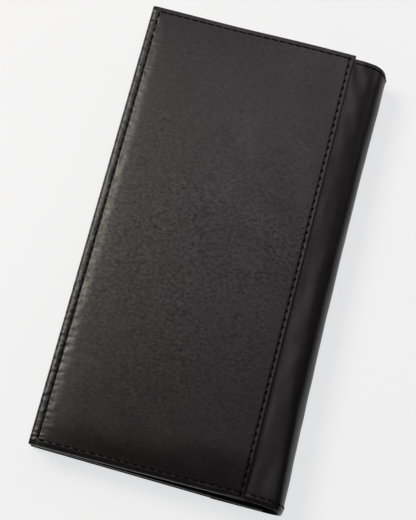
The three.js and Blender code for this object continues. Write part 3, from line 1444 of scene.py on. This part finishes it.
    def sew(self, end: str, thread: Seam, place: float, side: Side) -> None:
        """Sews one part's hem at one end.

        Args:
            end: The end's name.
            thread: The kind of seam.
            place: Where the seam lies along the fold.
            side: The half that the part is beside.
        """
        middle = self.middle
        start = self.layout.lap + self.seam_start
        u = line_between(middle, start) if side is Side.FRONT else line_between(2 * middle - start, middle)
        outside = partial(self.place, 0.0, True)
        name = f"fold_{end}_hem_{side.value}"
        self.hang(thread.sew(name, outside, u, np.full_like(u, place), self.wardrobe.thread), side)


# Inside the halves


@dataclass
class Leaf:
    """A flat ply of a half's inside, from the hem to the fold, with a free mouth at its head."""

    layout: Layout
    side: Side
    node: str
    inner_level: float
    ply: float
    foot: float
    mouth: Callable[[Array], Array]
    lean: float = 0.0
    crease: Groove = Groove(0.0, 0.35)
    crease_margin: float = 2.2
    sewn_run: float = 8.0
    waves: Waves = Waves(0.06, 21.0, 15.0)

    def level(self, x: Array, y: Array) -> Array:
        """The inner face, which shows when the wallet is open.

        Args:
            x: Places across.
            y: Places along.

        Returns:
            Its level in the half's frame.
        """
        line = self.crease.at(self.mouth(x) - y - self.crease_margin)
        sewn = smooth(x, self.layout.hem, self.layout.hem + self.sewn_run)
        waves = sewn * self.waves.at(x, y)
        return self.inner_level - (y - self.foot) * math.tan(self.lean) + line + waves

    def outer_face(self, x: Array, share: Array) -> Array:
        """The face towards the cover, by the share of the way from the foot to the mouth."""
        y = self.foot + share * (self.mouth(x) - self.foot)
        return self.layout.laid(self.side, x, y, self.level(x, y) + self.ply)

    def inner_face(self, x: Array, down: Array) -> Array:
        """The face towards the other half, for a seam on it, with places counted down from the middle."""
        return self.layout.laid(self.side, x, -down, self.level(x, -down))


@dataclass
class Inside(Half):
    """What both halves have inside: filler, lining and an inner panel, and the seam round them."""

    panel_ply: float = 0.8
    panel_level: float = -2.85
    panel_seed: float = 2.2
    leaf_edge: float = 0.25
    leaf_edge_share: float = 0.4
    leaf_spacing: Span = (0.2, 2.0)
    panel_spacing: Span = (0.5, 2.4)
    fold_hem: float = 2.0
    seam_margin: float = 2.6
    seam_end: float = 1.0
    seam_below: float = 1.0
    round_seam: Seam = Seam(thickness=0.5, sink=0.06)
    # The filler: its inset, the level and roll of its face, its thickness, edge and softness
    filler_inset: float = 7.25
    filler_level: float = 0.15
    filler_roll: float = 0.7
    filler_run: float = 2.5
    filler_ply: float = 0.75
    filler_edge: float = 0.2
    filler_fill: float = 0.4
    filler_steps: tuple[int, int] = (30, 60)
    # The lining
    lining_level: float = -1.45
    lining_ply: float = 0.5
    lining_edge: float = 0.12
    lining_hem: float = 2.0
    lining_spacing: Span = (0.6, 2.6)
    sag: Waves = Waves(0.05, 16.0, 22.0, 3.9)

    def columns(self) -> Array:
        """Grid lines across an inner leaf.

        Returns:
            The lines.
        """
        width = self.layout.panel_right - self.layout.hem
        seams = [self.seam_margin, width - self.fold_hem]
        return self.layout.hem + graded_lines(width, seams, *self.panel_spacing)

    def straight_mouth(self, x: Array) -> Array:
        """A mouth that runs along the head."""
        return np.full_like(x, self.layout.inner_head)

    def filler_face(self, u: Array, v: Array) -> Array:
        """The filler's outer face, by the shares of the way across and along it.

        Args:
            u: The share across.
            v: The share along.

        Returns:
            Points in the half's frame.
        """
        inset = self.filler_inset
        width = self.layout.lap_x - self.layout.ply_gap - inset
        length = self.layout.length - 2 * inset
        from_side = np.minimum(np.minimum(u, 1.0 - u) * width, np.minimum(v, 1.0 - v) * length)
        level = self.filler_level - self.filler_roll * np.exp(-from_side / self.filler_run)
        return self.layout.laid(self.side, inset + u * width, inset - self.layout.head + v * length, level)

    def build_filler(self) -> None:
        """Models the soft pad under the cover."""
        name = f"{self.side.value}_filler"
        columns, rows = [np.linspace(0.0, 1.0, steps) for steps in self.filler_steps]
        pad = draped_grid(f"{name}_pad", columns, rows, self.filler_face)
        dress(pad, Slot.FILLER, self.wardrobe.filler, self.wardrobe.filler)
        thicken(pad, self.filler_ply, self.filler_edge)
        self.hang(pad, name)

    def lining_face(self, x: Array, y: Array) -> Array:
        """The lining's outer face."""
        return self.layout.laid(self.side, x, y, self.lining_level + self.sag.at(x, y))

    def build_lining(self) -> None:
        """Models the lining, the outer wall of the note pocket."""
        layout, hem = self.layout, self.lining_hem
        name = f"{self.side.value}_lining"
        width = layout.lap_x - layout.ply_gap - layout.hem
        length = 2 * layout.inner_head
        columns = layout.hem + graded_lines(width, [hem], *self.lining_spacing)
        rows = graded_lines(length, [hem, length - hem], *self.lining_spacing) - layout.inner_head
        lining = draped_grid(f"{name}_sheet", columns, rows, self.lining_face)
        dress(lining, Slot.LINING, self.wardrobe.lining, self.wardrobe.lining)
        thicken(lining, self.lining_ply, self.lining_edge)
        self.hang(lining, name)

    def leaf(self, node: str, level: float, ply: float, seed: float, **sizes: Any) -> Leaf:
        """A leaf that is as large as the half, where it isn't given other sizes.

        Args:
            node: The leaf's solid.
            level: The level of its inner face.
            ply: Its thickness.
            seed: Picks its waves.
            sizes: Its other fields.

        Returns:
            The leaf.
        """
        whole = {"foot": -self.layout.inner_head, "mouth": self.straight_mouth}
        whole["waves"] = replace(Leaf.waves, seed=seed)
        return Leaf(self.layout, self.side, node, level, ply, **{**whole, **sizes})

    def build_leaf(self, leaf: Leaf, columns: Array) -> None:
        """Models a leaf and puts it in place of its solid.

        Args:
            leaf: The leaf.
            columns: Grid lines across.
        """
        deep = float(np.max(leaf.mouth(columns)) - leaf.foot)
        rows = graded_lines(deep, [deep - leaf.crease_margin], *self.leaf_spacing) / deep
        piece = draped_grid(f"{leaf.node}_leaf", columns, rows, leaf.outer_face)
        dress(piece, Slot.INNER, self.wardrobe.inner, self.wardrobe.edge)
        thicken(piece, leaf.ply, min(self.leaf_edge, self.leaf_edge_share * leaf.ply))
        self.hang(piece, leaf.node)

    def build_walls(self) -> Leaf:
        """Models the filler, the lining and the inner panel.

        Returns:
            The panel.
        """
        self.build_filler()
        self.build_lining()
        panel = self.leaf(
            f"{self.side.value}_inner_panel", self.panel_level, self.panel_ply, self.panel_seed
        )
        self.build_leaf(panel, self.columns())
        return panel

    def innermost(self, leaves: list[Leaf], x: Array, down: Array) -> Array:
        """The inner face of whichever leaf lies innermost, with places counted down from the middle.

        Args:
            leaves: The leaves.
            x: Places across.
            down: Places along, counted down.

        Returns:
            Points in the half's frame.
        """
        y = -down
        level = np.zeros_like(x)
        for leaf in leaves:
            covers = (y >= leaf.foot - self.seam_below) & (y <= leaf.mouth(x))
            level = np.where(covers, np.minimum(level, leaf.level(x, y)), level)
        return self.layout.laid(self.side, x, y, level)

    def sew_round(self, leaves: list[Leaf]) -> None:
        """Sews the inside round its free edge, head and foot.

        Args:
            leaves: The leaves that the seam goes over.
        """
        free, right = self.layout.hem + self.seam_margin, self.layout.panel_right - self.seam_end
        end = self.layout.inner_head - self.seam_margin
        lines = {
            "inner_free_seam": ((free, free), (-end, end)),
            "inner_head_seam": ((free, right), (-end, -end)),
            "inner_foot_seam": ((free, right), (end, end)),
        }
        surface = partial(self.innermost, leaves)
        for name, (across, down) in lines.items():
            u, v = line_between(*across), line_between(*down)
            self.sew(self.round_seam, f"{self.side.value}_{name}", surface, u, v)


@dataclass
class CardSide(Inside):
    """The inside of the front half: card pockets below an identity window."""

    card_count: int = 5
    card_step: float = 13.0
    card_depth: float = 44.0
    card_ply: float = 0.6
    card_level: float = -3.7
    card_crease: Groove = Groove(0.12, 0.35)
    card_seed: float = 10.0
    mouth_radius: float = 2.5
    mouth_steps: int = 9
    window_foot: float = 17.0
    window_width: float = 74.0
    window_height: float = 47.0
    window_radius: float = 4.0
    window_seam: Seam = Seam(thickness=0.45, sink=0.08)
    window_margin: float = 2.0
    thumb_radius: float = 9.0
    frame_level: float = -4.25
    frame_edge: float = 0.2
    frame_inset: float = 6.0
    film_ply: float = 0.3
    film_edge: float = 0.1
    film_lap: float = 3.0
    film_level: float = -3.15
    film_waves: Waves = Waves(0.03, 14.0, 11.0, 6.6)
    film_hem: float = 2.0
    film_spacing: Span = (2.0, 2.4)

    def card_mouth(self, top: float, x: Array) -> Array:
        """A card pocket's mouth, rounded where it meets the fold."""
        past = np.clip(x - self.layout.panel_right + self.mouth_radius, 0.0, self.mouth_radius)
        return top - self.mouth_radius + np.sqrt(self.mouth_radius**2 - past**2)

    def cards(self) -> list[Leaf]:
        """The card pockets, each leaning on the one behind it.

        Returns:
            The pockets, from the foot up.
        """
        lean = math.asin((self.card_ply + self.layout.ply_gap) / self.card_step)
        leaves = []
        for i in range(self.card_count):
            foot = self.card_step * i - self.layout.inner_head
            mouth = partial(self.card_mouth, foot + self.card_depth * math.cos(lean))
            sizes = {"foot": foot, "mouth": mouth, "lean": lean, "crease": self.card_crease}
            node = f"card_pocket_{i + 1}"
            leaves.append(self.leaf(node, self.card_level, self.card_ply, self.card_seed + i, **sizes))
        return leaves

    @property
    def window_middle(self) -> Span:
        """The middle of the window's opening."""
        across = (self.layout.hem + self.layout.panel_right) / 2 - self.thumb_radius / 4
        return across, (self.window_foot + self.layout.inner_head) / 2

    def build_window_frame(self) -> None:
        """Models the leather frame of the window, with its opening and thumb notch."""
        layout = self.layout
        middle_x, middle_y = self.window_middle
        left, right = layout.hem, layout.panel_right
        foot, top = self.window_foot, layout.inner_head
        level = (self.frame_level + self.card_ply) * MM
        centre = Vector(((left + right) / 2 * MM, (foot + top) / 2 * MM, level))
        piece = added("id_window_frame_leaf", bpy.ops.mesh.primitive_plane_add, size=1.0)
        with edit_mode():
            bpy.ops.mesh.select_all(action="SELECT")
            bpy.ops.transform.resize(value=((right - left) * MM, (top - foot) * MM, 1.0))
            bpy.ops.transform.translate(value=centre)
            bpy.ops.mesh.inset(thickness=self.frame_inset * MM)
        corners = list(next(p for p in piece.data.polygons if p.select).vertices)
        for index in corners:
            corner = piece.data.vertices[index]
            toward = corner.co - centre
            corner.co.x = (middle_x + math.copysign(self.window_width / 2, toward.x)) * MM
            corner.co.y = (middle_y + math.copysign(self.window_height / 2, toward.y)) * MM
        with edit_mode():
            bpy.ops.mesh.delete(type="ONLY_FACE")
        for vertex in piece.data.vertices:
            vertex.select = vertex.index in corners
        with edit_mode():
            bpy.ops.mesh.bevel(offset=self.window_radius * MM, segments=6, affect="VERTICES")
        self.cut_thumb_notch(piece, Vector((right, middle_y, self.frame_level)))
        dress(piece, Slot.INNER, self.wardrobe.inner, self.wardrobe.edge)
        thicken(piece, self.card_ply, self.frame_edge)
        self.hang(piece, "id_window_frame")

    def cut_thumb_notch(self, piece: Piece, place: Vector) -> None:
        """Cuts the notch that lets a thumb push the card out.

        Args:
            piece: The window's frame, a flat sheet.
            place: The notch's middle on the frame's edge.
        """
        rod = {"vertices": 48, "radius": 1.0, "depth": 0.02}
        cutter = added("thumb_cutter", bpy.ops.mesh.primitive_cylinder_add, **rod)
        size = Vector((self.thumb_radius / 2 * MM, self.thumb_radius * MM, 1.0))
        cutter.data.transform(Matrix.Translation(place * MM) @ Matrix.Diagonal(size.to_4d()))
        finish_with(piece, "SOLIDIFY", thickness=0.01 * MM, offset=0.0)
        finish_with(piece, "BOOLEAN", object=cutter, operation="DIFFERENCE", solver="EXACT")
        bpy.data.objects.remove(cutter)

    def film_face(self, x: Array, y: Array) -> Array:
        """The film's outer face."""
        return self.layout.laid(self.side, x, y, self.film_level + self.film_waves.at(x, y))

    def build_film(self) -> None:
        """Models the clear film behind the frame."""
        grid = []
        for middle, opening in zip(self.window_middle, (self.window_width, self.window_height)):
            size = opening + 2 * self.film_lap
            lines = graded_lines(size, [self.film_hem], *self.film_spacing)
            grid.append(middle - size / 2 + lines)
        film = draped_grid("id_window_film_sheet", *grid, self.film_face)
        dress(film, Slot.FILM, self.wardrobe.film, self.wardrobe.film)
        thicken(film, self.film_ply, self.film_edge)
        self.hang(film, "id_window_film")

    def frame_face(self, x: Array, down: Array) -> Array:
        """The frame's inner face, with places counted down from the middle."""
        return self.layout.laid(self.side, x, -down, np.full_like(x, self.frame_level))

    def sew_window(self) -> None:
        """Sews the frame round the window's opening."""
        middle_x, middle_y = self.window_middle
        radius = self.window_radius + self.window_margin
        across = self.window_width / 2 + self.window_margin - radius
        along = self.window_height / 2 + self.window_margin - radius
        turn = np.linspace(0.0, QUARTER, 24)
        x, y = [], []
        for quarter, (right, up) in enumerate(((1, 1), (-1, 1), (-1, -1), (1, -1))):
            angle = turn + quarter * QUARTER
            x.append(middle_x + right * across + radius * np.cos(angle))
            y.append(middle_y + up * along + radius * np.sin(angle))
        x = np.concatenate([*x, x[0][:1]])
        y = np.concatenate([*y, y[0][:1]])
        steps = np.linspace(0.0, len(x) - 1.0, 1600)
        u, v = [np.interp(steps, np.arange(len(x)), places) for places in (x, y)]
        self.sew(self.window_seam, "id_window_seam", self.frame_face, u, -v)

    def build(self) -> None:
        """Models everything inside the front half."""
        panel = self.build_walls()
        self.build_film()
        self.build_window_frame()
        self.sew_window()
        cards = self.cards()
        turn = np.linspace(0.0, QUARTER, self.mouth_steps)
        rounding = self.layout.panel_right - self.mouth_radius * (1.0 - np.sin(turn))
        columns = self.columns()
        columns = np.concatenate([columns[columns < rounding[0] - 0.1], rounding])
        for card in cards:
            self.build_leaf(card, columns)
        sizes = {"foot": self.window_foot, "waves": replace(Leaf.waves, height=0.0)}
        window = self.leaf("id_window_frame", self.frame_level, self.card_ply, 0.0, **sizes)
        self.sew_round([panel, window, *cards])


@dataclass
class ChequeSide(Inside):
    """The inside of the back half: a chequebook pocket with a slip pocket over it."""

    pocket_ply: float = 0.8
    pocket_crease: Groove = Groove(0.1, 0.35)
    cheque_level: float = -3.9
    cheque_mouth: float = 46.0
    cheque_scoop: float = 9.0
    cheque_seed: float = 31.0
    slip_level: float = -4.95
    slip_mouth: float = -6.0
    slip_slant: float = 22.0
    slip_seed: float = 37.0
    mouth_seam: Seam = Seam(thickness=0.45, sink=0.06)
    mouth_start: float = 3.0
    mouth_end: float = 1.0

    def scooped(self, x: Array) -> Array:
        """The chequebook pocket's mouth."""
        t = (x - self.layout.hem) / (self.layout.panel_right - self.layout.hem)
        return self.cheque_mouth - 4 * self.cheque_scoop * t * (1.0 - t)

    def slanted(self, x: Array) -> Array:
        """The slip pocket's mouth."""
        return self.slip_mouth - self.slip_slant * smooth(x, self.layout.hem, self.layout.panel_right)

    def sew_mouth(self, leaf: Leaf) -> None:
        """Sews down the turned edge of a pocket's mouth.

        Args:
            leaf: The pocket.
        """
        layout = self.layout
        u = line_between(layout.hem + self.mouth_start, layout.panel_right - self.mouth_end)
        down = leaf.crease_margin - leaf.mouth(u)
        self.sew(self.mouth_seam, f"{leaf.node}_mouth_seam", leaf.inner_face, u, down)

    def build(self) -> None:
        """Models everything inside the back half."""
        leaves = [self.build_walls()]
        pockets = (
            ("chequebook_pocket", self.cheque_level, self.cheque_seed, self.scooped),
            ("slip_pocket", self.slip_level, self.slip_seed, self.slanted),
        )
        for node, level, seed, mouth in pockets:
            pocket = self.leaf(node, level, self.pocket_ply, seed, mouth=mouth, crease=self.pocket_crease)
            self.build_leaf(pocket, self.columns())
            self.sew_mouth(pocket)
            leaves.append(pocket)
        self.sew_round(leaves)


# The studio


@dataclass(frozen=True)
class Lamp:
    """A soft square light that faces the wallet.

    It stands at an elevation and an azimuth in degrees, the azimuth from the fold's side towards the
    head, and at a distance in metres. Its size is in metres and its power in watts.
    """

    name: str
    elevation: float
    azimuth: float
    size: float
    power: float
    colour: str = "fff8ff"
    distance: float = 1.15

    def build(self) -> None:
        """Adds the light."""
        elevation, azimuth = math.radians(self.elevation), math.radians(self.azimuth)
        level = self.distance * math.cos(elevation)
        height = self.distance * math.sin(elevation)
        place = Vector((level * math.cos(azimuth), level * math.sin(azimuth), height))
        lamp = bpy.data.lights.new(self.name, "AREA")
        lamp.size = self.size
        lamp.energy = self.power
        lamp.color = linear(self.colour)[:3]
        light = bpy.data.objects.new(self.name, lamp)
        light.location = place
        light.rotation_euler = (-place).to_track_quat("-Z", "Y").to_euler()
        bpy.context.scene.collection.objects.link(light)


@dataclass(frozen=True)
class Studio:
    """A pale floor, soft light and the camera at the photograph's place."""

    azimuth: float = -7.53
    elevation: float = 77.014
    roll: float = 22.515
    camera_mm: tuple[float, float, float] = (-17.15, -116.925, 507.487)
    focal_px: float = 1300.0
    sensor_mm: float = 36.0
    clip_start: float = 0.01
    floor_size: float = 12.0
    card: WhiteCard = WhiteCard()
    lamps: tuple[Lamp, ...] = (
        Lamp("key", 50.0, 161.0, 0.45, 10.6, "fff8ec"),
        Lamp("head_key", 70.0, 95.0, 0.45, 1.6),
        Lamp("head_rim", 36.0, 90.0, 0.6, 2.0),
        Lamp("fold_rim", 32.0, 45.0, 0.45, 1.05),
        Lamp("fill_220", 16.0, 220.0, 0.8, 0.9),
        Lamp("fill_265", 16.0, 265.0, 0.8, 0.9),
        Lamp("fill_310", 16.0, 310.0, 0.8, 0.9),
    )

    def build(self) -> None:
        """Builds the floor, the lights and the camera."""
        bpy.context.scene.view_settings.view_transform = "Standard"
        floor = added("floor", bpy.ops.mesh.primitive_plane_add, size=self.floor_size)
        floor.data.materials.append(self.card.material())
        self.build_world()
        for lamp in self.lamps:
            lamp.build()
        self.build_camera()

    def build_world(self) -> None:
        """Makes the room behind the floor as pale as the floor, without lighting anything by it."""
        world = bpy.data.worlds.new("studio")
        bpy.context.scene.world = world
        world.use_nodes = True
        tree = world.node_tree
        ray = add_node(tree, "ShaderNodeLightPath", {}).outputs["Is Camera Ray"]
        connect(tree, tree.nodes["Background"], {"Color": linear(self.card.seen), "Strength": ray})

    def build_camera(self) -> None:
        """Sets the camera up at the photograph's viewpoint."""
        azimuth, elevation, roll = (math.radians(a) for a in (self.azimuth, self.elevation, self.roll))
        out = math.cos(elevation)
        back = Vector((math.sin(azimuth) * out, -math.cos(azimuth) * out, math.sin(elevation)))
        level = Vector((math.cos(azimuth), math.sin(azimuth), 0.0))
        up = back.cross(level)
        right = level * math.cos(roll) + up * math.sin(roll)
        upright = up * math.cos(roll) - level * math.sin(roll)
        data = bpy.data.cameras.new("camera")
        data.sensor_width = self.sensor_mm
        data.lens = self.focal_px / PHOTO_HEIGHT_PX * self.sensor_mm
        data.clip_start = self.clip_start
        camera = bpy.data.objects.new("camera", data)
        turn = Matrix((right, upright, back)).transposed()
        camera.matrix_world = Matrix.Translation(Vector(self.camera_mm) * MM) @ turn.to_4x4()
        bpy.context.scene.collection.objects.link(camera)
        bpy.context.scene.camera = camera


def main() -> None:
    """Builds the wallet and its studio."""
    logging.basicConfig(level=logging.INFO, format="%(name)s: %(message)s")
    layout = Layout.from_solids()
    wardrobe = Wardrobe.build()
    for side in Side:
        Cover(layout, wardrobe, side).build()
    Fold(layout, wardrobe).build()
    CardSide(layout, wardrobe, Side.FRONT).build()
    ChequeSide(layout, wardrobe, Side.BACK).build()
    Studio().build()


if __name__ == "__main__":
    main()
